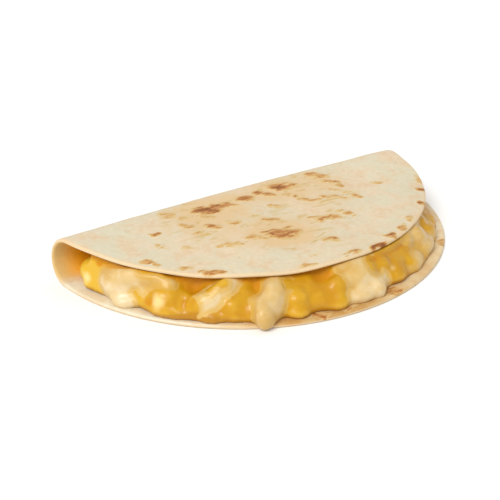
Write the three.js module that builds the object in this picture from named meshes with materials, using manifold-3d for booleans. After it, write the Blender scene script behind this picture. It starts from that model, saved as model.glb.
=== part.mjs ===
// A cheese quesadilla: one soft flour tortilla folded over a thick melted filling of yellow and
// white cheese, which swells, drips and shows all along the open, curved side.
// Millimetres, +Z up. X runs along the fold, Y from the open side to the fold, and the folded
// tortilla lies on the floor at Z = 0. The group is placed so that the origin is the middle of
// the bounding box's bottom face.
import * as THREE from "three";
import { mergeVertices } from "three/addons/utils/BufferGeometryUtils.js";
import Module from "manifold-3d";

const wasm = await Module();
wasm.setup();

// Driving dimensions of the tortilla
const discRadius = 90; // a soft-taco tortilla, 180 mm across
const thickness = 1.8;
const foldBehindCentre = 6.9; // from the disc's centre back to the fold, so the lower flap is longer
const curl = { half: 9.6, skew: -0.4, ends: -0.7, twist: -0.1, depth: 0.8, depthSkew: -0.17, lean: 0.5 };
const flapDrop = { middle: -2.4, skew: -3.2, ends: -2.9 }; // the upper flap's fall, straight part
const flapSag = { middle: -3.5, skew: 3.9, ends: -4.2 }; // and its curved part
const dent = 0.32; // the upper flap's dents and swells
const rim = { width: 1.3, share: 0.62 }; // the rounded rim, and its share of the thickness
const farEnd = { lift: 1, drop: 5, start: 0.8 }; // the fold's far end rises a little, then rounds off

// Driving dimensions of the filling
const clearance = 0.35; // between any two pieces
const coreClearance = 0.6; // between the filling's core and the tortilla
const fillingEdge = 86.5; // the lower edge of the cheese, from the disc's centre
const underRim = 2; // the top of the slope lies this far inside the upper flap's rim
const frontSetBack = 2.4; // the creases between lumps lie this far behind the slope
const frontBulge = 1.2; // the whole front's own swelling, halfway up
const foot = { near: 1.5, far: 4, from: 102, to: 114, height: 6 }; // how far the cheese's foot spreads
const lumpDepth = 16; // a white lump reaches this far in
const tunnelFront = -10.5; // the cheese ends here, short of the fold
const coreCentre = -40; // the middle of the filling, on Y

const colours = { tortilla: 0xe9d9bd, yellow: 0xe9a92c, white: 0xefe0b0 };

// Small helpers
const radians = THREE.MathUtils.degToRad;
const lerp = THREE.MathUtils.lerp;
const clamp = THREE.MathUtils.clamp;
const smoothStep = (x, low, high) => THREE.MathUtils.smoothstep(x, low, high);

// A value that is one number in the middle, leans with X and changes towards both ends
const along = (spread, x) => spread.middle + spread.skew * x + spread.ends * x * x;

// Half the fold's height, and how much of the disc each half of the curl takes up, at X
function curlAt(x) {
  const share = x / discRadius;
  const half = curl.half + curl.skew * share + curl.ends * share ** 2 + curl.twist * share ** 3;
  const round = curl.depth + curl.depthSkew * share;
  return { half, round, arc: (Math.PI / 2) * half * round };
}

// The curl's own axis, as a Y that leans slightly along the fold
function curlAxis(x) {
  return foldBehindCentre - (Math.PI / 2) * curl.half * curl.depth + (curl.lean * x) / discRadius;
}

// Gentle dents and swells of the upper flap, where it lies over the lumps
function undulation(x, s) {
  const reach = smoothStep(s, 12, 40);
  const wave = Math.sin(x / 11.5 + 0.6) * Math.cos(s / 14 - 0.4) + 0.6 * Math.sin(x / 6.3 + s / 9.5);
  return dent * reach * wave;
}

// Middle surface of the folded tortilla. s is the distance from the fold line on the flat disc:
// below zero on the lower flap, above zero on the upper one.
function foldedPoint(x, s) {
  const share = x / discRadius;
  const { half, round, arc } = curlAt(x);
  const angle = (clamp(s / arc, -1, 1) * Math.PI) / 2;
  const flat = Math.max(Math.abs(s) - arc, 0);
  const y = curlAxis(x) + half * round * Math.cos(angle) - flat;
  let z = thickness / 2 + half + half * Math.sin(angle);
  if (s > 0) {
    const d = flat / discRadius;
    z += along(flapDrop, share) * d + along(flapSag, share) * d * d + undulation(x, s);
    const nearFold = smoothStep(s, 2, 14) * (1 - smoothStep(s, 20, 42));
    z += farEnd.lift * smoothStep(share, 0.6, 0.8) * nearFold;
    z -= farEnd.drop * (Math.max(share - farEnd.start, 0) / (1 - farEnd.start)) ** 2 * nearFold;
  }
  return new THREE.Vector3(x, y, z);
}

// Outward normal of that surface, away from the filling
function foldedNormal(x, s) {
  const step = 0.25;
  const alongX = foldedPoint(x + step, s).sub(foldedPoint(x - step, s));
  const alongS = foldedPoint(x, s + step).sub(foldedPoint(x, s - step));
  return alongX.cross(alongS).normalize().negate();
}

// Height of the upper flap's middle surface over a plan position
function flapHeight(x, y) {
  const s = Math.max(curlAxis(x) - y, 0) + curlAt(x).arc;
  return foldedPoint(x, s).z;
}

// Row positions across the disc, from -1 to 1: close together round the curl and at the rim
function tortillaRows() {
  const fine = 2.3;
  const coarse = 8;
  const curlReach = 14;
  const reach = (direction) => {
    const end = discRadius - direction * foldBehindCentre - rim.width;
    const rows = [];
    let s = 0;
    while (s < end) {
      s += lerp(fine, coarse, smoothStep(s, curlReach - 4, curlReach + 9));
      rows.push(s);
    }
    const stretch = end / rows[rows.length - 1];
    return rows.map((value) => (foldBehindCentre + direction * value * stretch) / discRadius);
  };
  const lower = reach(-1).reverse();
  return [-1, ...lower, foldBehindCentre / discRadius, ...reach(1), 1];
}

function tortillaColumns(count) {
  const inner = 1 - rim.width / discRadius;
  const columns = Array.from({ length: count + 1 }, (_, i) => lerp(-inner, inner, i / count));
  return [-1, ...columns, 1];
}

// The folded tortilla as a closed mesh. grow thickens it all round, for cutting the filling.
function tortillaGeometry(grow = 0) {
  const rows = tortillaRows();
  const columns = tortillaColumns(24);
  const geometry = new THREE.BoxGeometry(2, 2, 1, columns.length - 1, rows.length - 1, 1);
  const position = geometry.getAttribute("position");
  for (let i = 0; i < position.count; i++) {
    const column = Math.round(((position.getX(i) + 1) / 2) * (columns.length - 1));
    const row = Math.round(((position.getY(i) + 1) / 2) * (rows.length - 1));
    const u = columns[column];
    const v = rows[row];
    const atRim = Math.abs(u) === 1 || Math.abs(v) === 1;
    // a square's grid drawn onto the round disc
    const x = (discRadius + grow) * u * Math.sqrt(1 - (v * v) / 2);
    const s = (discRadius + grow) * v * Math.sqrt(1 - (u * u) / 2) - foldBehindCentre;
    const half = (thickness / 2) * (atRim && grow === 0 ? rim.share : 1) + grow;
    const side = position.getZ(i) > 0 ? 1 : -1;
    const point = foldedPoint(x, s).addScaledVector(foldedNormal(x, s), side * half);
    position.setXYZ(i, point.x, point.y, point.z);
  }
  return geometry;
}

// The uneven swelling of a lump's surface, from -1 to 1, different for each seed
function unevenness(p, seed) {
  return (
    Math.sin(p.x * 2.3 + seed * 1.7 + 1.1 * Math.sin(p.y * 1.9 + seed)) * 0.5 +
    Math.sin(p.y * 2.9 - seed * 0.9 + p.z * 1.7) * 0.3 +
    Math.sin(p.z * 3.7 + seed * 2.3 + p.x * 1.3) * 0.2
  );
}

// A place on the cheese's sloping front. turn is in degrees round the rim from the fold's near
// end, rise is the height above the floor, and proud is how far it stands out from the slope.
function frontPlace(turn, rise, proud = 0) {
  const angle = radians(turn - 180);
  const outward = new THREE.Vector3(Math.cos(angle), Math.sin(angle), 0);
  const low = outward.clone().multiplyScalar(fillingEdge).setZ(thickness);
  const highY = 2 * foldBehindCentre - Math.sqrt((discRadius - underRim) ** 2 - low.x ** 2);
  const high = new THREE.Vector3(low.x, highY, flapHeight(low.x, highY) - thickness / 2);
  return low.clone().lerp(high, (rise - low.z) / (high.z - low.z)).addScaledVector(outward, proud);
}

// A rounded lump of cheese whose face stands proud of the front
function lumpGeometry({ turn, rise, proud, across, tall, lean = 0 }, grow = 0) {
  const roughness = 0.08;
  const geometry = mergedShape(new THREE.IcosahedronGeometry(1, 2));
  const position = geometry.getAttribute("position");
  const size = new THREE.Vector3(lumpDepth / 2 + grow, across / 2 + grow, tall / 2 + grow);
  const point = new THREE.Vector3();
  for (let i = 0; i < position.count; i++) {
    point.fromBufferAttribute(position, i);
    point.multiplyScalar(1 + roughness * unevenness(point, turn)).multiply(size);
    position.setXYZ(i, point.x, point.y, point.z);
  }
  geometry.rotateX(radians(lean));
  geometry.rotateZ(radians(turn - 180));
  const place = frontPlace(turn, rise, proud - lumpDepth / 2);
  return geometry.translate(place.x, place.y, place.z);
}

// A melted strand over the front: a round-ended rope along a smooth curve through its places,
// each of them [turn, rise, proud, radius]
function strandGeometry(places, grow = 0) {
  const rings = 2 * places.length + 5;
  const capShare = 2.5 / rings;
  const flattened = { wide: 1.12, thick: 0.85 };
  const path = places.map(([turn, rise, proud]) => frontPlace(turn, rise, proud));
  const curve = new THREE.CatmullRomCurve3(path);
  const radii = places.map((place) => place[3] + grow);
  const geometry = mergedShape(new THREE.SphereGeometry(1, 9, rings));
  const position = geometry.getAttribute("position");
  const across = new THREE.Vector3();
  const outward = new THREE.Vector3();
  for (let i = 0; i < position.count; i++) {
    const length = Math.acos(clamp(position.getY(i), -1, 1)) / Math.PI;
    const around = Math.atan2(position.getZ(i), position.getX(i));
    const u = clamp((length - capShare) / (1 - 2 * capShare), 0, 1);
    const capAngle = (Math.min(Math.min(length, 1 - length) / capShare, 1) * Math.PI) / 2;
    const slot = Math.min(Math.floor(u * (radii.length - 1)), radii.length - 2);
    const radius = lerp(radii[slot], radii[slot + 1], u * (radii.length - 1) - slot);
    const wobble = 1 + 0.07 * Math.sin(around * 2 + u * 9) + 0.05 * Math.sin(around * 3 - u * 14);
    const open = radius * wobble * Math.sin(capAngle);
    const centre = curve.getPoint(u);
    const tangent = curve.getTangent(u);
    across.set(centre.x, centre.y, 0).cross(tangent).normalize();
    outward.crossVectors(tangent, across);
    centre.addScaledVector(across, Math.cos(around) * open * flattened.wide);
    centre.addScaledVector(outward, Math.sin(around) * open * flattened.thick);
    centre.addScaledVector(tangent, Math.sign(length - 0.5) * Math.cos(capAngle) * radius);
    position.setXYZ(i, centre.x, centre.y, centre.z);
  }
  return geometry;
}

// A vein of white cheese from its lump on the front back through the filling to the tunnel
function veinGeometry({ turn, rise, thick, backX }, grow = 0) {
  const insideLump = -5;
  const start = frontPlace(turn, rise, insideLump);
  const end = new THREE.Vector3(backX, tunnelFront - 3, rise + 1);
  const geometry = mergedShape(new THREE.IcosahedronGeometry(1, 1));
  geometry.scale(start.distanceTo(end) / 2 + grow, thick / 2 + grow, thick / 2.6 + grow);
  const run = end.clone().sub(start).normalize();
  geometry.applyQuaternion(new THREE.Quaternion().setFromUnitVectors(new THREE.Vector3(1, 0, 0), run));
  const middle = start.lerp(end, 0.5);
  return geometry.translate(middle.x, middle.y, middle.z);
}

// How far the yellow cheese's front swells out at a place, where its lumps run into each other
function frontRelief(x, z) {
  const turn = THREE.MathUtils.radToDeg(Math.acos(clamp(-x / fillingEdge, -1, 1)));
  const perDegree = radians(fillingEdge);
  const fullness = 0.7; // below 1, a lump rises steeply at its edge and is flatter on top
  const mixing = 4; // higher keeps the creases between lumps sharper
  const sum = yellowLumps.reduce((total, lump) => {
    const sideways = (turn - lump.turn) * perDegree;
    const leaning = Math.tan(radians(lump.lean ?? 0)) * (z - lump.rise);
    const d = ((sideways - leaning) / (lump.across / 2)) ** 2 + ((z - lump.rise) / (lump.tall / 2)) ** 2;
    return d < 1 ? total + ((lump.proud + frontSetBack) * (1 - d) ** fullness) ** mixing : total;
  }, 0);
  return sum ** (1 / mixing);
}

// How much further the melted foot spreads out at a place, most along the far side
function footSpread(x, z) {
  const turn = THREE.MathUtils.radToDeg(Math.acos(clamp(-x / fillingEdge, -1, 1)));
  const spread = lerp(foot.near, foot.far, smoothStep(turn, foot.from, foot.to));
  return spread * (1 - smoothStep(z, thickness + coreClearance, thickness + foot.height));
}

// The body of the filling, a D-shaped slab that fills the fold up to its tunnel, with its lumps
// along the front. Each point of a lathe profile is moved out to the D's own edge in its
// direction, more closely spaced along the front.
function coreGeometry() {
  const segments = 112;
  const rows = 8;
  const wall = Array.from({ length: rows + 1 }, (_, i) => {
    const up = 0.5 - 0.5 * Math.cos((Math.PI * i) / rows);
    return new THREE.Vector2(i % rows ? 1 : 0.985, up);
  });
  const floor = [new THREE.Vector2(0, 0), new THREE.Vector2(0.9, 0)];
  const ceiling = [new THREE.Vector2(0.9, 1), new THREE.Vector2(0, 1)];
  const geometry = mergedShape(new THREE.LatheGeometry([...floor, ...wall, ...ceiling], segments));
  const position = geometry.getAttribute("position");
  const direction = new THREE.Vector2();
  const outward = new THREE.Vector2();
  for (let i = 0; i < position.count; i++) {
    const out = Math.hypot(position.getX(i), position.getZ(i));
    const up = position.getY(i);
    const round = Math.atan2(position.getX(i), position.getZ(i)) / Math.PI;
    const angle = Math.PI * (0.6 * round + 0.4 * round ** 3) - Math.PI / 2;
    direction.set(Math.cos(angle), Math.sin(angle));
    const lowEdge = edgeDistance(direction, 0, fillingEdge - frontSetBack);
    const highEdge = edgeDistance(direction, 2 * foldBehindCentre, discRadius - frontSetBack - underRim);
    const reach = lerp(lowEdge, highEdge, up) * out;
    let x = direction.x * reach;
    let y = coreCentre + direction.y * reach;
    const bottom = thickness + coreClearance;
    if (out > 0.95 && y < tunnelFront - 0.5) {
      const z = lerp(bottom, flapHeight(x, y) - thickness / 2 - coreClearance, up);
      const swelling = frontRelief(x, z) + frontBulge * Math.sin(Math.PI * up) + footSpread(x, z);
      outward.set(x, y).normalize().multiplyScalar(swelling);
      x += outward.x;
      y += outward.y;
    }
    position.setXYZ(i, x, y, lerp(bottom, flapHeight(x, y) - thickness / 2 - coreClearance, up));
  }
  return geometry;
}

// Distance from the core's centre to the edge of the D: a circle in front, a straight line behind
function edgeDistance(direction, circleCentre, radius) {
  const toCentre = circleCentre - coreCentre;
  const middle = toCentre * direction.y;
  const circle = middle + Math.sqrt(radius ** 2 - toCentre ** 2 + middle ** 2);
  const line = direction.y > 0.001 ? (tunnelFront - coreCentre) / direction.y : Infinity;
  const cornerSharpness = 24;
  return (circle ** -cornerSharpness + line ** -cornerSharpness) ** (-1 / cornerSharpness);
}

// Positions only, with the seams' doubled vertices merged, as a solid needs them
function mergedShape(geometry) {
  geometry.deleteAttribute("normal");
  geometry.deleteAttribute("uv");
  return mergeVertices(geometry, 1e-4);
}

function solidOf(geometry) {
  const merged = mergedShape(geometry);
  const solid = new wasm.Manifold(
    new wasm.Mesh({
      numProp: 3,
      vertProperties: new Float32Array(merged.getAttribute("position").array),
      triVerts: new Uint32Array(merged.index.array),
    }),
  );
  if (solid.volume() > 0) return solid;
  const corners = merged.index.array;
  for (let i = 0; i < corners.length; i += 3) {
    [corners[i], corners[i + 1]] = [corners[i + 1], corners[i]];
  }
  return solidOf(merged);
}

const join = (solids) => solids.reduce((whole, next) => whole.add(next));

// The largest of the separate bodies that a cut has left, so that no loose scrap stays
function largestBody(solid) {
  return solid.decompose().reduce((best, body) => (body.volume() > best.volume() ? body : best));
}

function meshOf(name, solid, colour, roughness) {
  const data = solid.getMesh();
  const geometry = new THREE.BufferGeometry();
  geometry.setAttribute("position", new THREE.BufferAttribute(new Float32Array(data.vertProperties), 3));
  geometry.setIndex(new THREE.BufferAttribute(new Uint32Array(data.triVerts), 1));
  geometry.computeVertexNormals();
  const material = new THREE.MeshStandardMaterial({ color: colour, roughness, metalness: 0 });
  const mesh = new THREE.Mesh(geometry, material);
  mesh.name = name;
  return mesh;
}

// The lumps of yellow cheese that swell out along the open side, from the fold's near end
const yellowLumps = [
  { turn: 13.6, rise: 7.6, proud: 3.2, across: 15, tall: 14 },
  { turn: 36, rise: 6.6, proud: 2.2, across: 9, tall: 10 },
  { turn: 41.2, rise: 7, proud: 2.8, across: 17, tall: 12.5, lean: 8 },
  { turn: 46, rise: 6, proud: 1.6, across: 11, tall: 10 },
  { turn: 50.8, rise: 4.6, proud: 2, across: 13, tall: 7.5 },
  { turn: 56.2, rise: 6.8, proud: 2, across: 13, tall: 10, lean: -10 },
  { turn: 60.8, rise: 7.8, proud: 2.4, across: 13.5, tall: 12.5 },
  { turn: 74.4, rise: 9.8, proud: 1.6, across: 12, tall: 9.5, lean: 12 },
  { turn: 72.6, rise: 4.8, proud: 1.6, across: 11, tall: 8 },
  { turn: 79.3, rise: 8.6, proud: 2, across: 13.5, tall: 10, lean: -8 },
  { turn: 84.2, rise: 6.8, proud: 1.8, across: 11, tall: 12, lean: 14 },
  { turn: 100.8, rise: 11.4, proud: 1.2, across: 13, tall: 8 },
  { turn: 105.2, rise: 7.8, proud: 2.4, across: 15, tall: 10.5, lean: 12 },
  { turn: 112, rise: 9.8, proud: 1.2, across: 13, tall: 9.5, lean: -12 },
  { turn: 131.2, rise: 10, proud: 0.8, across: 12, tall: 9 },
  { turn: 143, rise: 7.2, proud: 0.2, across: 15, tall: 11.5 },
  { turn: 153.5, rise: 6.8, proud: -0.2, across: 14, tall: 11, lean: 10 },
  { turn: 163, rise: 7.4, proud: 0, across: 12, tall: 12 },
];

// The white cheese, each piece a few lumps and strands run together, with a vein into the filling
const whitePieces = {
  white_cheese_near_end: {
    lumps: [
      { turn: 23.6, rise: 8.4, proud: 2.6, across: 17, tall: 15.5 },
      { turn: 24.6, rise: 3.9, proud: 3.2, across: 14, tall: 6.5 },
    ],
    strands: [[[26, 11.5, -0.6, 3.4], [31, 13.2, -0.6, 3.2], [36, 13.8, -0.8, 3], [41, 12.8, -0.6, 2.4]]],
    vein: { turn: 24, rise: 8, thick: 8, backX: -52 },
  },
  white_cheese_strand: {
    lumps: [],
    strands: [[[58.5, 12.6, -4, 3.2], [55.5, 12, -0.4, 3.6], [51.6, 9.2, 0.6, 3.8], [48.2, 7, 0.8, 3.4]]],
    vein: { turn: 57, rise: 11, thick: 6.5, backX: -28 },
  },
  white_cheese_drip: {
    lumps: [{ turn: 71, rise: 10.4, proud: 1.8, across: 8, tall: 7.5 }],
    strands: [
      [
        [69.4, 11.4, -4, 4.4],
        [68.6, 10.2, -0.6, 5],
        [66.4, 7.8, 0.4, 5.2],
        [64.2, 6.1, 2.2, 5.1],
        [63.2, 5.4, 4.6, 4.6],
      ],
    ],
    vein: { turn: 69, rise: 9.5, thick: 7, backX: -10 },
  },
  white_cheese_front: {
    lumps: [
      { turn: 93.2, rise: 8.2, proud: 3.2, across: 20, tall: 13.5 },
      { turn: 97.4, rise: 4.8, proud: 3.2, across: 12, tall: 8 },
      { turn: 91.6, rise: 4.2, proud: 3.8, across: 17, tall: 6.8 },
    ],
    strands: [],
    vein: { turn: 92, rise: 8, thick: 9, backX: 10 },
  },
  white_cheese_far_side: {
    lumps: [
      { turn: 117, rise: 10.6, proud: 2, across: 14, tall: 9, lean: -10 },
      { turn: 123.5, rise: 8.2, proud: 3.4, across: 18, tall: 11.5, lean: -14 },
      { turn: 115.5, rise: 4.4, proud: 3.2, across: 17, tall: 6.6 },
      { turn: 126, rise: 4.6, proud: 3.6, across: 18, tall: 7 },
      { turn: 134, rise: 5, proud: 3.4, across: 16, tall: 7.6 },
    ],
    strands: [],
    vein: { turn: 121, rise: 8, thick: 8, backX: 40 },
  },
};

const tortilla = solidOf(tortillaGeometry());
const roomForTortilla = solidOf(tortillaGeometry(clearance));

function whiteSolid({ lumps, strands, vein }, grow) {
  return join([
    solidOf(veinGeometry(vein, grow)),
    ...lumps.map((lump) => solidOf(lumpGeometry(lump, grow))),
    ...strands.map((strand) => solidOf(strandGeometry(strand, grow))),
  ]);
}

const whiteSolids = Object.entries(whitePieces).map(([name, piece]) => ({
  name,
  solid: largestBody(whiteSolid(piece, 0).subtract(roomForTortilla)),
  room: whiteSolid(piece, clearance),
}));

function yellowSolid() {
  const mass = solidOf(coreGeometry()).subtract(roomForTortilla);
  return largestBody(whiteSolids.reduce((left, white) => left.subtract(white.room), mass));
}

const quesadilla = new THREE.Group();
quesadilla.add(meshOf("tortilla", tortilla, colours.tortilla, 0.8));
quesadilla.add(meshOf("yellow_cheese", yellowSolid(), colours.yellow, 0.35));
for (const { name, solid } of whiteSolids) quesadilla.add(meshOf(name, solid, colours.white, 0.3));

// The origin goes to the middle of the bounding box's bottom face
const box = new THREE.Box3().setFromObject(quesadilla);
const centre = box.getCenter(new THREE.Vector3());
quesadilla.position.set(-centre.x, -centre.y, -box.min.z);

export default quesadilla;
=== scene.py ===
import math

import bmesh
import bpy
import numpy as np
from mathutils import Matrix, Vector, noise
from mathutils.bvhtree import BVHTree
from mathutils.kdtree import KDTree


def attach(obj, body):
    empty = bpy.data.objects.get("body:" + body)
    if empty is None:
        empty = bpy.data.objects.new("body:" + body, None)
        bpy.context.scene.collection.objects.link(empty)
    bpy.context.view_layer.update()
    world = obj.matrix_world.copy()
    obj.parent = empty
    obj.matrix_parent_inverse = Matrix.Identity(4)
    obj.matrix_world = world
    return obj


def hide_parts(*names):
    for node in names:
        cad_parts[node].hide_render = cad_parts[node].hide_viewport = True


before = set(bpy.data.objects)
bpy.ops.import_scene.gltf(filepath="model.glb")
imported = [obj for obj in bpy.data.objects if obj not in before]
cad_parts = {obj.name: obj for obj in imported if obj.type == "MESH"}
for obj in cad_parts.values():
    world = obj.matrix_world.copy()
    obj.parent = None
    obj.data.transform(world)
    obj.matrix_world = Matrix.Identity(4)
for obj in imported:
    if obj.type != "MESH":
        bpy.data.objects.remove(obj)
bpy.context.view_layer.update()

# Lengths in the dictionaries are in millimetres. The part lies with its fold along X,
# its open curved side towards -Y and its lower flap on the floor.
mm = 0.001
everyWay = {"use_axis_x": True, "use_axis_y": True, "use_axis_z": True}


def smoothStep(value, low, high):
    share = np.clip((np.asarray(value, dtype=float) - low) / (high - low), 0.0, 1.0)
    return share * share * (3.0 - 2.0 * share)


def readPlaces(mesh):
    places = np.empty(len(mesh.vertices) * 3)
    mesh.vertices.foreach_get("co", places)
    return places.reshape(-1, 3)


def writePlaces(mesh, places):
    mesh.vertices.foreach_set("co", np.asarray(places).ravel())
    mesh.update()


def readNormals(mesh):
    normals = np.empty(len(mesh.vertices) * 3)
    mesh.vertex_normals.foreach_get("vector", normals)
    return normals.reshape(-1, 3)


def writeMask(mesh, name, values):
    layer = mesh.attributes.get(name) or mesh.attributes.new(name, "FLOAT", "POINT")
    layer.data.foreach_set("value", np.asarray(values, dtype=np.float32))


def noiseAt(places, size, seed):
    # smooth noise from -1 to 1, size is the width of its patches in millimetres
    shift = Vector((seed * 7.3, seed * 3.1, seed * 5.7))
    return np.array([noise.noise(Vector(p) / (size * mm) + shift) for p in places])


def awayFrom(place, places):
    # distance of every place to one given in millimetres
    return np.linalg.norm(places / mm - np.array(place), axis=1)


def shownObject(name, mesh, nodes, material):
    piece = bpy.data.objects.new(name, mesh)
    bpy.context.collection.objects.link(piece)
    mesh.materials.clear()
    mesh.materials.append(material)
    mesh.polygons.foreach_set("use_smooth", np.ones(len(mesh.polygons), dtype=bool))
    mesh.update()
    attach(piece, "root")
    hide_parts(*nodes)
    return piece


# Shader building: a wrapped socket does arithmetic, and a finish adds nodes
class Wire:
    def __init__(self, finish, socket):
        self.finish = finish
        self.socket = socket

    def maths(self, operation, first, second):
        return self.finish.add("ShaderNodeMath", {"operation": operation}, {0: first, 1: second})

    def __add__(self, other):
        return self.maths("ADD", self, other)

    def __radd__(self, other):
        return self.maths("ADD", other, self)

    def __sub__(self, other):
        return self.maths("SUBTRACT", self, other)

    def __rsub__(self, other):
        return self.maths("SUBTRACT", other, self)

    def __mul__(self, other):
        return self.maths("MULTIPLY", self, other)

    def __rmul__(self, other):
        return self.maths("MULTIPLY", other, self)


class Finish:
    def __init__(self, name):
        self.material = bpy.data.materials.new(name)
        self.material.use_nodes = True
        self.tree = self.material.node_tree
        self.tree.nodes.clear()

    def add(self, kind, settings=None, sockets=None, out=0):
        node = self.tree.nodes.new(kind)
        for name, value in (settings or {}).items():
            if name == "stops":
                ramp = node.color_ramp.elements
                while len(ramp) < len(value):
                    ramp.new(0.5)
                for stop, (place, colour) in zip(ramp, value):
                    stop.position = place
                    stop.color = (*colour, 1.0)
            else:
                setattr(node, name, value)
        for name, value in (sockets or {}).items():
            if isinstance(value, Wire):
                self.tree.links.new(value.socket, node.inputs[name])
            elif isinstance(value, (tuple, list)) and node.inputs[name].type == "RGBA":
                node.inputs[name].default_value = (*value, 1.0)
            else:
                node.inputs[name].default_value = value
        return Wire(self, node.outputs[out])

    def mask(self, name):
        return self.add("ShaderNodeAttribute", {"attribute_name": name}, out="Fac")

    def mix(self, share, a, b, way="MIX"):
        settings = {"data_type": "RGBA", "blend_type": way, "clamp_factor": True}
        return self.add("ShaderNodeMix", settings, {0: share, 6: a, 7: b}, out=2)

    def between(self, value, low, high, toLow=0.0, toHigh=1.0):
        settings = {"interpolation_type": "SMOOTHSTEP"}
        sockets = {"Value": value, "From Min": low, "From Max": high, "To Min": toLow, "To Max": toHigh}
        return self.add("ShaderNodeMapRange", settings, sockets)

    def cloud(self, where, scale, detail=2.0, roughness=0.5, distortion=0.0):
        sockets = {"Vector": where, "Scale": scale, "Detail": detail, "Roughness": roughness}
        sockets["Distortion"] = distortion
        return self.add("ShaderNodeTexNoise", {}, sockets)

    def output(self, sockets):
        shader = self.add("ShaderNodeBsdfPrincipled", {}, sockets)
        end = self.tree.nodes.new("ShaderNodeOutputMaterial")
        self.tree.links.new(shader.socket, end.inputs["Surface"])
        return self.material


# Tortilla: a flat round of dough folded once, with its lower flap on the floor
tortilla = {
    "radius": 90.0,
    "thickness": 1.8,
    "foldBehindCentre": 6.9,  # the fold runs this far behind the round's centre
    "centreY": 42.83,  # the lower flap's centre in the frame
    "squares": 190,  # squares of the flat grid along each side
    "curlHalf": 9.6,
    "curlSkew": -0.4,
    "curlEnds": -0.7,
    "curlTwist": -0.1,
    "curlDepth": 0.8,
    "curlDepthSkew": -0.17,
    "curlLean": 0.5,
    "flapDrop": (-2.4, -3.2, -2.9),  # middle, skew along the fold, both ends
    "flapSag": (-3.5, 3.9, -4.2),
    "dent": 0.32,
    "farLift": 1.0,
    "farDrop": 4.8,
    "farStart": 0.91,
    "farTrim": 2.9,  # the far end of the upper flap is this much short of round
    "rimRound": 0.75,  # how far the rim is rounded off
    "puff": 0.34,  # height of the blisters on the upper flap
    "grain": 0.07,
    "markSlant": 34.5,  # the long way of the griddle marks, degrees from the fold
}

# Griddle marks on the flat round: along the fold, away from it, long, wide, how dark
griddleMarks = [
    (-26, 22, 12, 7, 1.0),
    (-21, 22, 9, 5, 0.9),
    (-30, 27, 6, 4, 0.5),
    (-15, 22, 8, 4, 0.8),
    (-6, 21, 9, 4, 0.7),
    (3, 21, 9, 4, 0.9),
    (13, 18, 11, 7, 1.0),
    (20, 19, 8, 4, 0.7),
    (35, 17, 10, 5, 0.8),
    (36, 24, 6, 4, 0.6),
    (37, 29, 4, 4, 0.7),
    (-43, 18, 7, 7, 0.5),
    (-40, 22, 6, 3, 0.4),
    (-41, 30, 5, 4, 0.85),
    (-38, 38, 9, 4, 0.5),
    (-31, 37, 6, 4, 0.8),
    (-22, 37, 6, 4, 0.6),
    (-8, 43, 7, 3, 0.7),
    (1, 33, 3, 3, 0.5),
    (14, 28, 8, 3, 0.5),
    (18, 35, 11, 3, 0.6),
    (28, 37, 11, 3, 0.6),
    (35, 34, 12, 3, 0.4),
    (38, 41, 4, 3, 0.7),
    (-34, 52, 9, 4, 0.6),
    (-22, 53, 7, 3, 0.6),
    (-13, 54, 12, 8, 0.85),
    (-7, 55, 11, 8, 0.8),
    (11, 51, 9, 4, 0.7),
    (17, 52, 8, 3, 0.55),
    (24, 51, 8, 3, 0.5),
    (4, 68, 9, 3, 0.5),
    (-55, 29, 3, 3, 0.8),
    (-58, 40, 5, 3, 0.4),
    (-49, 46, 5, 3, 0.35),
    (-10, 75, 3, 2, 0.35),
    (56, 33, 5, 2, 0.55),
    (-67, 48, 8, 3, 0.6),
    (-58, 58, 6, 3, 0.45),
    (-50, 65, 8, 3, 1.0),
    (-16, 80, 9, 3, 0.6),
    (5, 81, 6, 3, 0.65),
    (18, 79.5, 8, 2.4, 1.0),
    (28, 76, 5, 3, 0.8),
    (37, 72, 4, 3, 0.9),
    (45, 68, 5, 3, 0.6),
    (60, 57, 3, 4, 0.8),
    (71, 47, 3, 6, 0.85),
    (76, 37, 4, 5, 0.5),
    (-65, -63, 5, 3, 0.7),
    (-20, -92, 9, 4, 0.75),
    (15, -92, 10, 7, 0.8),
    (18, -93, 5, 4, 1.0),
    (-7, -93, 7, 3, 0.7),
    (62, -71, 4, 4, 0.6),
]


def along(spread, share):
    return spread[0] + spread[1] * share + spread[2] * share**2


def foldedPoints(x, s):
    # Middle surface of the folded round. s is the flat distance from the fold, + on the upper flap.
    t = tortilla
    share = x / t["radius"]
    half = t["curlHalf"] + t["curlSkew"] * share + t["curlEnds"] * share**2 + t["curlTwist"] * share**3
    rounding = t["curlDepth"] + t["curlDepthSkew"] * share
    arc = math.pi / 2 * half * rounding
    angle = np.clip(s / arc, -1, 1) * math.pi / 2
    flat = np.maximum(np.abs(s) - arc, 0)
    axis = t["foldBehindCentre"] - math.pi / 2 * t["curlHalf"] * t["curlDepth"] + t["curlLean"] * share
    y = axis + half * rounding * np.cos(angle) - flat
    z = t["thickness"] / 2 + half + half * np.sin(angle)
    upper = s > 0
    reach = flat / t["radius"]
    dents = np.sin(x / 11.5 + 0.6) * np.cos(s / 14 - 0.4) + 0.6 * np.sin(x / 6.3 + s / 9.5)
    hang = along(t["flapDrop"], share) * reach + along(t["flapSag"], share) * reach**2
    hang += t["dent"] * smoothStep(s, 12, 40) * dents
    nearFold = smoothStep(s, 2, 14)
    hang += t["farLift"] * smoothStep(share, 0.6, 0.8) * nearFold * (1 - smoothStep(s, 20, 42))
    beyond = np.maximum(share - t["farStart"], 0) / (1 - t["farStart"])
    hang -= t["farDrop"] * beyond**2 * smoothStep(s, 0, 12) * (1 - smoothStep(s, 18, 60))
    return np.stack([x, y, z + np.where(upper, hang, 0)], axis=1)


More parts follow.
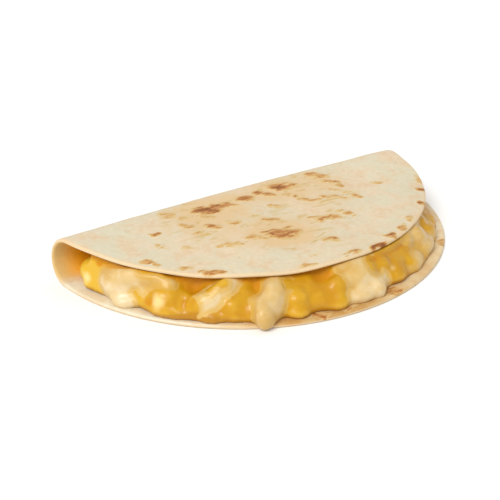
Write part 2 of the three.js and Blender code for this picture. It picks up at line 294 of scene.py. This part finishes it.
def foldedNormals(x, s):
    # away from the filling
    step = 0.25
    alongX = foldedPoints(x + step, s) - foldedPoints(x - step, s)
    alongS = foldedPoints(x, s + step) - foldedPoints(x, s - step)
    normal = np.cross(alongS, alongX)
    return normal / np.linalg.norm(normal, axis=1, keepdims=True)


def flapUnderside(x, y):
    # height of the upper flap's inner skin over a place in the frame
    t = tortilla
    s = np.linspace(12, 90, 40)
    heights = np.empty(len(x))
    columns = np.linspace(-90, 90, 61)
    grid = [foldedPoints(np.full(len(s), column), s) for column in columns]
    nearest = np.clip(np.round((x + 90) / 3), 0, 60).astype(int)
    for number, line in enumerate(grid):
        here = nearest == number
        order = np.argsort(line[:, 1])
        heights[here] = np.interp(y[here] - t["centreY"], line[order, 1], line[order, 2])
    return heights - t["thickness"] / 2


def rimLine(x):
    # the upper flap's rim, as Y over X in the frame
    t = tortilla
    return t["foldBehindCentre"] * 2 + t["centreY"] - np.sqrt(np.maximum(t["radius"] ** 2 - x**2, 0))


def toastAt(x, s):
    # how brown the griddle has made each place, before the shader breaks it up, and how warm
    # the dough is round about
    flat = np.stack([x, s, np.zeros(len(x))], axis=1) * mm
    x = x + noiseAt(flat, 5, 11) * 2.2
    s = s + noiseAt(flat, 5, 12) * 2.2
    brown = np.zeros(len(x))
    warm = np.zeros(len(x))
    for markX, markS, long, wide, dark in griddleMarks:
        slant = math.radians(tortilla["markSlant"]) * (1 if markS > 0 else -1)
        centreS = markS + tortilla["foldBehindCentre"]
        if math.hypot(markX, centreS) > 82:  # marks at the rim follow it
            slant = math.atan(-markX / centreS)
        dx = x - markX
        ds = s - markS
        lengthways = (dx * math.cos(slant) + ds * math.sin(slant)) / (long / 2 + 1.5)
        across = (ds * math.cos(slant) - dx * math.sin(slant)) / (wide * 0.5 + 0.8)
        d = lengthways**2 + across**2
        brown = np.maximum(brown, dark * np.clip(1 - d, 0, 1) ** 0.6)
        warm += dark * long * wide * np.exp(-(dx**2 + ds**2) / (2 * 8.0**2))
    return brown, np.clip(warm / 90, 0, 1)


def makeTortilla():
    t = tortilla
    bm = bmesh.new()
    bmesh.ops.create_grid(bm, x_segments=t["squares"], y_segments=t["squares"], size=1)
    upper = bmesh.ops.extrude_face_region(bm, geom=bm.faces[:], use_keep_orig=True)
    raised = [v for v in upper["geom"] if isinstance(v, bmesh.types.BMVert)]
    bmesh.ops.translate(bm, verts=raised, vec=(0, 0, 1))
    wall = [e for e in bm.edges if abs(e.verts[0].co.z - e.verts[1].co.z) > 0.5]
    bmesh.ops.subdivide_edges(bm, edges=wall, cuts=5)
    bmesh.ops.recalc_face_normals(bm, faces=bm.faces[:])
    bmesh.ops.reverse_faces(bm, faces=bm.faces[:])  # folding turns them round again
    mesh = bpy.data.meshes.new("folded_tortilla")
    bm.to_mesh(mesh)
    bm.free()

    square = readPlaces(mesh)
    u = square[:, 0]
    v = square[:, 1]
    h = square[:, 2] * 2 - 1  # -1 on the inner skin, 1 on the outer
    inward = t["rimRound"] * (1 - np.sqrt(1 - (h * 0.98) ** 2))
    roundX = u * np.sqrt(1 - v * v / 2)
    roundS = v * np.sqrt(1 - u * u / 2)
    trim = t["farTrim"] * np.exp(-(((t["radius"] * roundS - 23) / 13) ** 2)) * smoothStep(roundX, 0, 0.6)
    rimRadius = t["radius"] - trim
    fromRim = rimRadius * (1 - np.hypot(roundX, roundS))
    radius = rimRadius - inward * np.exp(-fromRim)
    x = radius * roundX
    s = radius * roundS - t["foldBehindCentre"]
    toRim = rimRadius - np.hypot(x, s + t["foldBehindCentre"])

    under = (h > 0) & (s < 0)  # the lower flap is browned below as the upper one is on top
    brown, warm = toastAt(np.where(under, -x, x), np.where(under, -s, s))
    flatPlaces = np.stack([x, s, np.zeros(len(x))], axis=1) * mm
    inner = h < 0
    # blisters stand up where the griddle browned the dough, over a low swell
    swell = noiseAt(flatPlaces, 13, 1) + 0.5 * noiseAt(flatPlaces, 5.5, 2)
    fine = noiseAt(flatPlaces, 2.2, 3)
    blister = smoothStep(brown, 0.1, 0.8)
    relief = t["puff"] * (0.55 * swell + 0.9 * blister) + t["grain"] * fine
    onUpper = smoothStep(s, 4, 16)
    relief *= np.where(inner, 0, onUpper)
    relief *= 0.5 + 0.5 * smoothStep(toRim, 0, 3)
    innerSwell = 0.12 * (swell + fine) * smoothStep(-s, 20, 40) * inner
    half = t["thickness"] / 2
    slim = 0.86 + 0.14 * smoothStep(toRim, 0, 1.6)
    height = h * half * slim + relief - innerSwell
    places = foldedPoints(x, s) + foldedNormals(x, s) * height[:, None]
    places[:, 1] += t["centreY"]
    places[:, 2] = np.maximum(places[:, 2], 0.02)
    writePlaces(mesh, places * mm)

    writeMask(mesh, "toast", brown)
    writeMask(mesh, "warm", warm)
    writeMask(mesh, "inner", smoothStep(-h, -0.1, 0.6))
    writeMask(mesh, "rim", 1 - smoothStep(toRim, 0.2, 2.2))
    # painted shade and painted golden reflected light on the inner skin inside the fold, deepest in the
    # fold's hollow
    inFold = smoothStep(-h, -0.1, 0.6) * (1 - smoothStep(s, 9, 24)) * smoothStep(s, -17, -8)
    writeMask(mesh, "curled", inFold)
    writeMask(mesh, "creamy", 1 - smoothStep(x, -72, -45) + 0.45 * smoothStep(x, 55, 75))
    tanned = smoothStep(x, -62, -30) * (1 - 0.7 * smoothStep(x, 2, 16))
    writeMask(mesh, "tanned", tanned * (1 - smoothStep(x, 38, 60)))
    writeMask(mesh, "hollow", inFold * smoothStep(toRim, 1.0, 13))

    flat = mesh.uv_layers.new(name="flat")
    corner = np.empty(len(mesh.loops), dtype=np.int32)
    mesh.loops.foreach_get("vertex_index", corner)
    uv = np.stack([x / 200 + 0.5, s / 200 + 0.5], axis=1)
    flat.data.foreach_set("uv", uv[corner].astype(np.float32).ravel())
    return shownObject("folded_tortilla", mesh, ["tortilla"], tortillaFinish())


def tortillaFinish():
    f = Finish("flourTortilla")
    where = f.add("ShaderNodeUVMap", {"uv_map": "flat"})
    toast = f.mask("toast")
    warm = f.mask("warm")
    inner = f.mask("inner")
    rim = f.mask("rim")
    hollow = f.mask("hollow")
    curled = f.mask("curled")
    creamy = f.mask("creamy")
    tanned = f.mask("tanned")

    broad = f.cloud(where, 10.0, 3.0, 0.6)
    patches = f.cloud(where, 22.0, 4.0, 0.6)
    floury = f.cloud(where, 95.0, 5.0, 0.7)
    dough = f.mix(f.between(broad, 0.38, 0.62), (0.64, 0.57, 0.40), (0.70, 0.555, 0.375))
    dough = f.mix(f.between(patches, 0.50, 0.62) * 0.7, dough, (0.66, 0.61, 0.45))
    dough = f.mix(f.between(patches, 0.48, 0.36) * 0.75, dough, (0.68, 0.49, 0.30))
    dough = f.mix(f.between(floury, 0.42, 0.7) * 0.45, dough, (0.76, 0.67, 0.50))
    dough = f.mix(f.between(warm + (patches - 0.5) * 2.0, 0.2, 1.0) * 0.85, dough, (0.69, 0.48, 0.245))
    # small pale brown freckles
    freckle = f.cloud(where, 62.0, 3.0, 0.7)
    dough = f.mix(f.between(freckle, 0.64, 0.72) * 0.45, dough, (0.46, 0.32, 0.15))
    dough = f.mix(rim * 0.6, dough, (0.76, 0.54, 0.30))
    mottled = f.between(patches, 0.38, 0.6)
    inside = f.mix(mottled, (0.70, 0.50, 0.26), (0.75, 0.59, 0.35))
    inside = f.mix(creamy, inside, f.mix(mottled, (0.72, 0.60, 0.42), (0.78, 0.71, 0.55)))
    inside = f.mix(tanned, inside, f.mix(mottled, (0.50, 0.25, 0.05), (0.56, 0.35, 0.12)))
    dough = f.mix(inner * 0.9, dough, inside)
    # painted shade and painted golden reflected light inside the fold, strongest in its hollow
    dough = f.mix(curled * 0.9, dough, (0.66, 0.425, 0.135))
    dough = f.mix(hollow, dough, (0.97, 0.42, 0.005))

    # griddle marks, torn along their slant and broken up inside
    slant = math.radians(tortilla["markSlant"])
    turned = {"Vector": where, "Rotation": (0, 0, -slant), "Scale": (1.0, 3.2, 1.0)}
    streaked = f.add("ShaderNodeMapping", {}, turned)
    torn = f.cloud(streaked, 30.0, 4.0, 0.62, 0.6)
    wisps = f.cloud(streaked, 17.0, 3.0, 0.6, 0.9)
    broken = f.cloud(where, 130.0, 4.0, 0.65)
    olive = f.between(wisps, 0.56, 0.66) * f.between(warm, 0.12, 0.6)
    dough = f.mix(olive * 0.8, dough, (0.57, 0.40, 0.14))
    near = f.between(toast, 0.0, 0.3)
    heat = toast * 0.95 + ((torn - 0.5) * 2.2 + (broken - 0.5) * 0.5) * near
    stops = [
        (0.0, (0.65, 0.48, 0.22)),
        (0.3, (0.60, 0.35, 0.12)),
        (0.65, (0.45, 0.18, 0.045)),
        (1.0, (0.24, 0.08, 0.015)),
    ]
    browned = f.add("ShaderNodeValToRGB", {"stops": stops}, {0: f.between(heat, 0.2, 1.2)})
    colour = f.mix(f.between(heat, 0.1, 0.4), dough, browned)

    grain = f.cloud(where, 300.0, 4.0, 0.6)
    pores = f.cloud(where, 110.0, 3.0, 0.6)
    height = grain * 0.35 + pores * 0.65
    bump = f.add("ShaderNodeBump", {}, {"Strength": 0.35, "Distance": 0.0006, "Height": height})
    return f.output({
        "Base Color": colour,
        "Roughness": f.between(patches, 0.3, 0.7, 0.62, 0.5),
        "Specular IOR Level": 0.35,
        "Normal": bump,
    })


# Melted cheese: one fused surface, shared out between the yellow and the white
cheese = {
    "voxel": 0.55,
    "smoothing": 8,
    "yellowGrow": 0.15,
    "whiteGrow": 0.3,  # the white solids are grown so that they meet the yellow
    "close": 1.3,  # grown and shrunk again by this much, which fills the creases between lumps
    "whiteStray": 1.2,  # how much further the white reaches where it has run
    "overlap": 1.1,  # how far the white's skin goes on under the yellow
    "sink": 0.6,  # the yellow lies this far under the white
    "crumb": 150,  # a patch of white with fewer faces than this is left out
    "skin": 0.7,  # thickness of the white's own skin
    "body": -1.0,  # the white solid inside, smaller than its skin
    "swell": 0.42,
    "ripple": 0.14,
    "whiteBorder": 3.6,  # how far the yellow tints the white, and the white the yellow
    "yellowBorder": 1.6,
    "rimFill": 1.8,  # on the far half the cheese rises this far at most, to meet the upper rim
    "fillAlong": (-16, -4, 48, 64),  # where along the fold it starts, is full, fades and ends
    "settle": 0.65,  # how far the foot has run down
    "shadeFrom": -1.0,  # behind the upper rim, where the painted shade begins and is full
    "shadeFull": 4.0,
    "hidden": ((-66, 24), (62, 8)),  # beyond these X and Y the photograph doesn't show the cheese
    "hiddenRounds": 110,  # extra smoothing of these parts
    "hiddenSwell": 3.0,  # and extra lumpiness of their sides
}
# Rounder lumps: place in the frame and half sizes
roundLumps = [
    ((-78.5, 30.5, 7.4), (6.2, 6.4, 5.6)),
    ((-65.7, -5.4, 7.6), (6.2, 6.2, 5.4)),
    ((-58.8, -10.9, 7.0), (6.0, 6.0, 5.0)),
    ((-47.3, -22.9, 6.6), (6.0, 6.0, 4.8)),
    ((-24.5, -33.2, 7.0), (6.0, 5.6, 4.8)),
    ((-7.2, -35.0, 8.0), (6.5, 5.6, 5.0)),
    ((16.5, -32.6, 8.5), (5.5, 5.5, 5.0)),
    ((46.3, -12.2, 11.4), (4.2, 4.2, 3.8)),
    ((55.6, -13.0, 9.0), (4.2, 4.2, 4.0)),
    ((9.0, -41.0, 4.4), (4.6, 4.4, 3.8)),
    ((75.0, 10.5, 7.0), (5.0, 6.0, 4.8)),
    ((78.3, 19.5, 7.0), (4.6, 6.0, 4.8)),
    ((79.3, 27.0, 6.4), (4.2, 4.6, 4.4)),
]
# Hollows: place, width, how deep, and how strong their painted shade is from 0 to 1
hollows = [
    ((-73.5, -3.2, 6.8), 4.2, 1.8, 0.6),
    ((-62.4, -14.4, 7.8), 4.6, 1.2, 0.25),
    ((-79.6, 22.4, 14.9), 5.0, 0.3, 0.7),
    ((-56.4, -10.7, 13.2), 6.5, 2.4, 0.8),
    ((-36.0, -24.5, 13.5), 5.0, 1.4, 1.0),
    ((-11.3, -30.9, 13.2), 6.5, 2.0, 1.0),
]
# Places whose surface goes to another cheese: place, width and which one
runs = [
    ((58.2, -15.7, 9.2), 4.6, "yellow_cheese"),
    ((-73.4, -3.4, 7.0), 2.6, "yellow_cheese"),
    ((-67.5, 4.0, 16.4), 4.6, "yellow_cheese"),
    ((-64.0, -1.0, 16.0), 3.2, "yellow_cheese"),
    ((-55.0, -17.2, 14.0), 3.0, "yellow_cheese"),
    ((-50.4, -19.0, 15.6), 3.0, "yellow_cheese"),
    ((-62.2, -16.4, 7.2), 4.2, "yellow_cheese"),
    ((11.6, -36.4, 12.2), 4.8, "yellow_cheese"),
    ((31.5, -33.5, 7.0), 3.4, "yellow_cheese"),
    ((-26.6, -31.4, 12.6), 3.2, "yellow_cheese"),
    ((-72.4, 1.4, 10.4), 2.6, "white_cheese_near_end"),
    ((9.6, -42.6, 4.0), 4.4, "white_cheese_front"),
]
# Painted golden shade on the white: place, width and how strong
paintedGoldenShade = [
    ((-66.0, 1.5, 16.0), 9.0, 0.9),
    ((0.5, -37.0, 13.4), 8.5, 1.3),
    ((-33.0, -30.2, 14.8), 6.0, 0.5),
]
# Painted highlights, as paler patches in the yellow: place and width
paintedHighlights = [
    ((-70.9, -7.1, 7.9), 4.2),
    ((-83.7, 27.1, 6.9), 3.2),
    ((-9.6, -39.6, 5.6), 2.6),
    ((20.4, -35.6, 7.0), 3.0),
    ((41.0, -27.6, 8.6), 3.0),
]
# White pieces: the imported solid, how tan it is from 0 to 1, and how near surface is white
whitePieces = {
    "melted_white_near_end": ("white_cheese_near_end", 0.15, 0.9),
    "melted_white_strand": ("white_cheese_strand", 0.2, 0.9),
    "melted_white_drip": ("white_cheese_drip", 0.85, 0.9),
    "melted_white_front": ("white_cheese_front", 0.5, 1.6),
    "melted_white_far_side": ("white_cheese_far_side", 1.0, 0.8),
}


def addNode(bm, nodeName, grow=0.0):
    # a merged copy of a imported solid, grown or shrunk along its normals
    part = bmesh.new()
    part.from_mesh(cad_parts[nodeName].data)
    bmesh.ops.remove_doubles(part, verts=part.verts[:], dist=0.00001)
    part.normal_update()
    for v in part.verts:
        v.co += v.normal * grow * mm
    whole = bpy.data.meshes.new("part")
    part.to_mesh(whole)
    part.free()
    bm.from_mesh(whole)
    bpy.data.meshes.remove(whole)


def addLump(bm, place, size):
    shape = Matrix.Translation(Vector(place) * mm) @ Matrix.Diagonal((*(Vector(size) * mm), 1))
    bmesh.ops.create_icosphere(bm, subdivisions=3, radius=1, matrix=shape)


def treeOf(nodeName, grow):
    bm = bmesh.new()
    addNode(bm, nodeName, grow)
    tree = BVHTree.FromBMesh(bm)
    bm.free()
    return tree


def fuse(bm, voxel, rounds):
    # one closed skin round everything in bm, smoothed
    mesh = bpy.data.meshes.new("melt")
    bm.to_mesh(mesh)
    bm.free()
    holder = bpy.data.objects.new("melt", mesh)
    bpy.context.collection.objects.link(holder)
    remesh = holder.modifiers.new("remesh", "REMESH")
    remesh.mode = "VOXEL"
    remesh.voxel_size = voxel * mm
    bpy.context.view_layer.update()
    ready = holder.evaluated_get(bpy.context.evaluated_depsgraph_get())
    fused = bpy.data.meshes.new_from_object(ready)
    bpy.data.objects.remove(holder)
    bpy.data.meshes.remove(mesh)
    soft = bmesh.new()
    soft.from_mesh(fused)
    for _ in range(rounds):
        bmesh.ops.smooth_vert(soft, verts=soft.verts[:], factor=0.5, **everyWay)
    soft.to_mesh(fused)
    soft.free()
    return fused


def signedDistances(tree, places):
    # in millimetres, below zero inside
    result = np.empty(len(places))
    for i, place in enumerate(places):
        at = Vector(place)
        point, normal, _, distance = tree.find_nearest(at)
        result[i] = (-distance if (at - point).dot(normal) < 0 else distance) / mm
    return result


def distancesTo(chosen, places):
    # distance of every place to the nearest chosen one, in millimetres
    tree = KDTree(int(chosen.sum()))
    for i in np.flatnonzero(chosen):
        tree.insert(places[i], int(i))
    tree.balance()
    return np.array([tree.find(place)[2] for place in places]) / mm


def dropCrumbs(bm):
    # patches of only a few faces go
    left = set(bm.faces)
    crumbs = []
    while left:
        patch = [left.pop()]
        for face in patch:
            around = {near for e in face.edges for near in e.link_faces} & left
            left -= around
            patch.extend(around)
        if len(patch) < cheese["crumb"]:
            crumbs.extend(patch)
    bmesh.ops.delete(bm, geom=crumbs, context="FACES")


def whitePatch(melt, chosen, lift, node):
    # the part of the fused surface that is this white piece, with a back and its own solid inside
    bm = bmesh.new()
    bm.from_mesh(melt)
    bm.verts.ensure_lookup_table()
    for v, amount in zip(bm.verts, lift):
        v.co += v.normal * amount * mm
    others = [f for f in bm.faces if not all(chosen[v.index] for v in f.verts)]
    bmesh.ops.delete(bm, geom=others, context="FACES")
    dropCrumbs(bm)
    for edge in bm.edges:
        if edge.is_boundary:
            edge.smooth = False
    back = bmesh.ops.extrude_face_region(bm, geom=bm.faces[:], use_keep_orig=True)
    for v in back["geom"]:
        if isinstance(v, bmesh.types.BMVert):
            v.co -= v.normal * cheese["skin"] * mm
    bmesh.ops.recalc_face_normals(bm, faces=bm.faces[:])
    addNode(bm, node, cheese["body"])
    mesh = bpy.data.meshes.new(node)
    bm.to_mesh(mesh)
    bm.free()
    return mesh


def smoothed(mesh, rounds, chosen=None):
    # the places after rounds of smoothing, of the chosen points or of all
    bm = bmesh.new()
    bm.from_mesh(mesh)
    bm.verts.ensure_lookup_table()
    points = bm.verts[:] if chosen is None else [bm.verts[i] for i in np.flatnonzero(chosen)]
    for _ in range(rounds):
        bmesh.ops.smooth_vert(bm, verts=points, factor=0.5, **everyWay)
    places = np.array([v.co[:] for v in bm.verts])
    bm.free()
    return places


def makeCheese():
    c = cheese
    whiteNodes = [node for node, _, _ in whitePieces.values()]
    tans = np.array([tan for _, tan, _ in whitePieces.values()])
    reaches = np.array([reach for _, _, reach in whitePieces.values()])
    bm = bmesh.new()
    addNode(bm, "yellow_cheese", c["yellowGrow"] + c["close"])
    for node in whiteNodes:
        addNode(bm, node, c["whiteGrow"] + c["close"])
    for place, size in roundLumps:
        addLump(bm, place, [half + c["close"] for half in size])
    melt = fuse(bm, c["voxel"], c["smoothing"])
    writePlaces(melt, readPlaces(melt) - readNormals(melt) * c["close"] * mm)
    bm = bmesh.new()
    bm.from_mesh(melt)
    melt = fuse(bm, c["voxel"], c["smoothing"])
    places = readPlaces(melt)
    hidden = np.zeros(len(places), dtype=bool)
    for fromX, fromY in c["hidden"]:
        hidden |= (places[:, 0] / mm > fromX) & (places[:, 1] / mm > fromY)
    writePlaces(melt, smoothed(melt, c["hiddenRounds"], hidden))
    places = readPlaces(melt)
    print("cheese fused,", len(melt.polygons), "faces")

    distance = np.array([signedDistances(treeOf(node, c["whiteGrow"]), places) for node in whiteNodes])
    stray = np.maximum(noiseAt(places, 6, 6) + 0.6 * noiseAt(places, 2.6, 7), 0) * c["whiteStray"]
    nearest = distance.argmin(axis=0)
    owner = np.where(distance.min(axis=0) < reaches[nearest] + stray, nearest, -1)
    ragged = noiseAt(places, 4, 9)
    for place, width, node in runs:
        number = whiteNodes.index(node) if node in whiteNodes else -1
        run = awayFrom(place, places) < width + ragged
        owner[run] = number
        nearest[run] = np.where(number < 0, nearest[run], number)

    sideways = 1 - readNormals(melt)[:, 2] ** 2
    swell = noiseAt(places, 7, 4) * c["swell"] * (1 + hidden * sideways * c["hiddenSwell"])
    swell += noiseAt(places, 2.4, 5) * c["ripple"] * smoothStep(distance.min(axis=0), -0.5, 1.5)
    dark = np.zeros(len(places))
    uneven = noiseAt(places, 4, 10)
    for place, width, depth, darkness in hollows:
        away = awayFrom(place, places) / width
        swell -= np.exp(-(away**2) * 2) * depth * smoothStep(distance.min(axis=0), 0.8, 3.5)
        # painted shade in each hollow, with a ragged edge
        share = np.exp(-((away + uneven * 0.35) ** 2) * 2) * darkness
        dark = np.maximum(dark, share * smoothStep(distance.min(axis=0), 0.0, 2.0))
    places = places + readNormals(melt) * swell[:, None] * mm
    # on the far half the cheese has risen to meet the upper rim
    behindRim = places[:, 1] / mm - rimLine(places[:, 0] / mm)
    gap = flapUnderside(places[:, 0] / mm, places[:, 1] / mm) - places[:, 2] / mm
    rise = smoothStep(behindRim, -2.0, 0.5) * (1 - smoothStep(behindRim, 4, 6.5))
    start, full, fade, end = c["fillAlong"]
    rise *= smoothStep(places[:, 0] / mm, start, full) * (1 - smoothStep(places[:, 0] / mm, fade, end))
    rise *= np.clip(gap * 0.8, 0, c["rimFill"]) * (1 - smoothStep(gap, 3.0, 6.0))
    places = places + readNormals(melt) * rise[:, None] * mm
    # the foot has run down onto the lower flap
    low = places[:, 2] / mm
    places[:, 2] -= c["settle"] * mm * (1 - smoothStep(low, 2.4, 4.4))
    writePlaces(melt, places)

    # painted shade in the concave creases and painted light on the ridges, found from how far smoothing
    # moves the surface
    curve = ((smoothed(melt, 24) - places) * readNormals(melt)).sum(axis=1) / mm
    writeMask(melt, "crease", smoothStep(curve, 0.02, 0.35))
    writeMask(melt, "ridge", smoothStep(-curve, 0.05, 0.5))
    isWhite = owner >= 0
    fromBorder = np.where(isWhite, distancesTo(~isWhite, places), distancesTo(isWhite, places))
    reach = np.where(isWhite, c["whiteBorder"], c["yellowBorder"])
    writeMask(melt, "border", 1 - smoothStep(fromBorder / reach, 0, 1))
    x = places[:, 0] / mm
    tan = tans[nearest]
    tan += 0.6 * smoothStep(x, -72, -62) * (nearest == 0)
    # painted shade: the upper part of the near-end white, under the upper flap, is made tanner
    tan += 0.7 * smoothStep(places[:, 2] / mm, 8.5, 12.5) * (nearest == 0)
    # painted shade on the white, added to the tan mask
    for place, width, amount in paintedGoldenShade:
        tan += amount * (1 - smoothStep(awayFrom(place, places) + uneven * 3, 0, width))
    writeMask(melt, "tan", np.clip(tan, 0, 1.25))
    # painted light: the yellow at the near end, where the light falls on it from the left, is made lighter
    writeMask(melt, "fresh", 1 - smoothStep(x, -80, -70))
    # painted highlights as paler patches with ragged edges
    curd = np.zeros(len(x))
    ragged = noiseAt(places, 3, 8) * 1.2
    for place, width in paintedHighlights:
        away = (awayFrom(place, places) + ragged) / width
        curd = np.maximum(curd, 1 - smoothStep(away, 0.1, 1.1))
    writeMask(melt, "curd", curd)
    # painted shade: the low parts of the yellow, where it rests on the lower flap, are coloured darker
    low = places[:, 2] / mm - 2.6 * np.exp(-(((x + 61) / 8) ** 2))
    foot = (1 - smoothStep(low, 2.0, 5.2)) * (0.85 + 0.15 * smoothStep(x, -5, 12))
    writeMask(melt, "foot", foot)
    # painted shade: behind and under the upper rim the cheese is coloured darker and more orange, joined
    # with the hollows' painted shade
    behindRim = places[:, 1] / mm - rimLine(x)
    gap = flapUnderside(x, places[:, 1] / mm) - places[:, 2] / mm
    shade = smoothStep(behindRim, c["shadeFrom"], c["shadeFull"]) * (1 - smoothStep(gap, 1.5, 6.5))
    shade *= 1 - 0.75 * smoothStep(x, -9, 6)
    writeMask(melt, "sheltered", np.maximum(shade, smoothStep(dark, 0.1, 0.7)))

    # the white runs thinly over the yellow at its border and ends under it
    inside = np.where(isWhite, fromBorder, -fromBorder)
    lift = -0.3 + 0.42 * smoothStep(inside, -c["overlap"], 0.9)
    finish = cheeseFinish("meltedWhiteCheese", white=True)
    for number, (name, (node, _, _)) in enumerate(whitePieces.items()):
        chosen = (owner == number) | ((nearest == number) & ~isWhite & (inside > -c["overlap"]))
        shownObject(name, whitePatch(melt, chosen, lift, node), [node], finish)

    # well inside the border the yellow steps back under the white
    sink = c["sink"] * smoothStep(inside, 0.5, 1.5)
    writePlaces(melt, places - readNormals(melt) * sink[:, None] * mm)
    finish = cheeseFinish("meltedYellowCheese", white=False)
    shownObject("melted_yellow", melt, ["yellow_cheese"], finish)


def cheeseFinish(name, white):
    f = Finish(name)
    where = f.add("ShaderNodeTexCoord", {}, out="Object")
    border = f.mask("border")
    sheltered = f.mask("sheltered")
    crease = f.mask("crease")
    ridge = f.mask("ridge")
    tan = f.mask("tan")
    fresh = f.mask("fresh")
    curd = f.mask("curd")
    foot = f.mask("foot")
    broad = f.cloud(where, 95.0, 3.0)
    middle = f.cloud(where, 210.0, 3.0, 0.55)
    fine = f.cloud(where, 520.0, 4.0, 0.6)
    uneven = f.between(broad, 0.35, 0.65)
    if white:
        # the tan mask carries the white's own tan and, in places, painted shade
        pale = f.mix(tan, (0.79, 0.66, 0.43), (0.66, 0.45, 0.17))
        rich = f.mix(tan, (0.72, 0.54, 0.27), (0.58, 0.34, 0.07))
        colour = f.mix(uneven, rich, pale)
        # painted highlights: pale patches on the white, fewer where it is tan
        colour = f.mix(f.between(middle, 0.5, 0.75) * 0.45 * (1 - tan * 0.6), colour, (0.85, 0.76, 0.57))
        # painted shade in the creases of the white
        colour = f.mix(crease * 0.6, colour, f.mix(tan, (0.68, 0.45, 0.15), (0.55, 0.28, 0.04)))
    else:
        colour = f.mix(uneven, (0.54, 0.25, 0.002), (0.61, 0.32, 0.004))
        colour = f.mix(f.between(middle, 0.55, 0.75) * 0.35, colour, (0.64, 0.37, 0.02))
        # painted light on the ridges and painted shade in the creases of the yellow
        colour = f.mix(ridge * 0.6, colour, (0.74, 0.46, 0.05))
        colour = f.mix(crease * 0.75, colour, (0.50, 0.19, 0.001))
        # painted light on the yellow at the near end
        colour = f.mix(fresh * 0.8, colour, (0.72, 0.45, 0.03))
        # painted shade at the foot of the yellow
        colour = f.mix(f.between(foot + (middle - 0.5) * 0.9, 0.1, 0.9), colour, (0.46, 0.20, 0.006))
        # painted highlights: paler patches on the yellow
        colour = f.mix(curd * 0.8, colour, (0.90, 0.68, 0.30))
    edge = f.mix(tan, (0.67, 0.44, 0.13), (0.60, 0.35, 0.06))
    colour = f.mix(f.between(border + (middle - 0.5) * 0.7, 0.1, 0.95), colour, edge)
    # painted shade: a darker, more orange colour where the painted shade mask is set, weaker on the white
    deep = f.mix(sheltered, (0.64, 0.30, 0.003), (0.57, 0.23, 0.001))
    shaded = f.between(sheltered + (broad - 0.5) * 0.5, 0.2, 0.8)
    colour = f.mix(shaded * (0.8 if white else 1.0), colour, deep)
    height = middle * 0.6 + fine * 0.4
    bump = f.add("ShaderNodeBump", {}, {"Strength": 0.2, "Distance": 0.0008, "Height": height})
    return f.output({
        "Base Color": colour,
        "Roughness": f.between(fine, 0.3, 0.7, 0.26, 0.4) + sheltered * 0.35,
        "Specular IOR Level": 0.32,
        "Coat Weight": 0.12 - sheltered * 0.12,
        "Coat Roughness": 0.15,
        "Normal": bump,
    })


makeTortilla()
print("tortilla done")
makeCheese()
print("cheese done")

# Studio: pale floor, dim white surroundings and one broad soft light from above on the left
studio = {
    "floorSize": 6.0,
    "floorColour": (0.93, 0.93, 0.93),
    "surroundings": 0.68,
    "light": {"from": (-0.75, -0.35, 0.95), "softness": 32, "strength": 2.1, "colour": (1.0, 0.985, 0.96)},
}


def makeFloor():
    bm = bmesh.new()
    bmesh.ops.create_grid(bm, x_segments=2, y_segments=2, size=studio["floorSize"] / 2)
    mesh = bpy.data.meshes.new("studio_floor")
    bm.to_mesh(mesh)
    bm.free()
    floor = bpy.data.objects.new("studio_floor", mesh)
    bpy.context.collection.objects.link(floor)
    f = Finish("paleFloor")
    pale = {"Base Color": studio["floorColour"], "Roughness": 0.9, "Specular IOR Level": 0.1}
    mesh.materials.append(f.output(pale))


def makeLight():
    values = studio["light"]
    light = bpy.data.lights.new("soft_light", "SUN")
    light.energy = values["strength"]
    light.angle = math.radians(values["softness"])
    light.color = values["colour"]
    lamp = bpy.data.objects.new("soft_light", light)
    lamp.location = values["from"]
    lamp.rotation_euler = (-lamp.location).to_track_quat("-Z", "Y").to_euler()
    bpy.context.collection.objects.link(lamp)


def makeSurroundings():
    world = bpy.data.worlds.new("studio")
    world.use_nodes = True
    background = world.node_tree.nodes["Background"]
    background.inputs["Color"].default_value = (1, 1, 1, 1)
    background.inputs["Strength"].default_value = studio["surroundings"]
    bpy.context.scene.world = world
    bpy.context.scene.view_settings.view_transform = "Standard"


makeFloor()
makeLight()
makeSurroundings()

# Camera where the photograph was taken from
viewpoint = {
    "place": (-252.39, -332.68, 222.17),
    "looksAt": (-0.43, 33.24, -7.53),
    "lens": 80.575,
}
photoCamera = bpy.data.cameras.new("photo_camera")
photoCamera.lens = viewpoint["lens"]
photoCamera.sensor_width = 36
cameraObject = bpy.data.objects.new("photo_camera", photoCamera)
cameraObject.location = Vector(viewpoint["place"]) * mm
towards = (Vector(viewpoint["looksAt"]) - Vector(viewpoint["place"]))
cameraObject.rotation_euler = towards.to_track_quat("-Z", "Y").to_euler()
bpy.context.collection.objects.link(cameraObject)
bpy.context.scene.camera = cameraObject
print("studio and camera done")
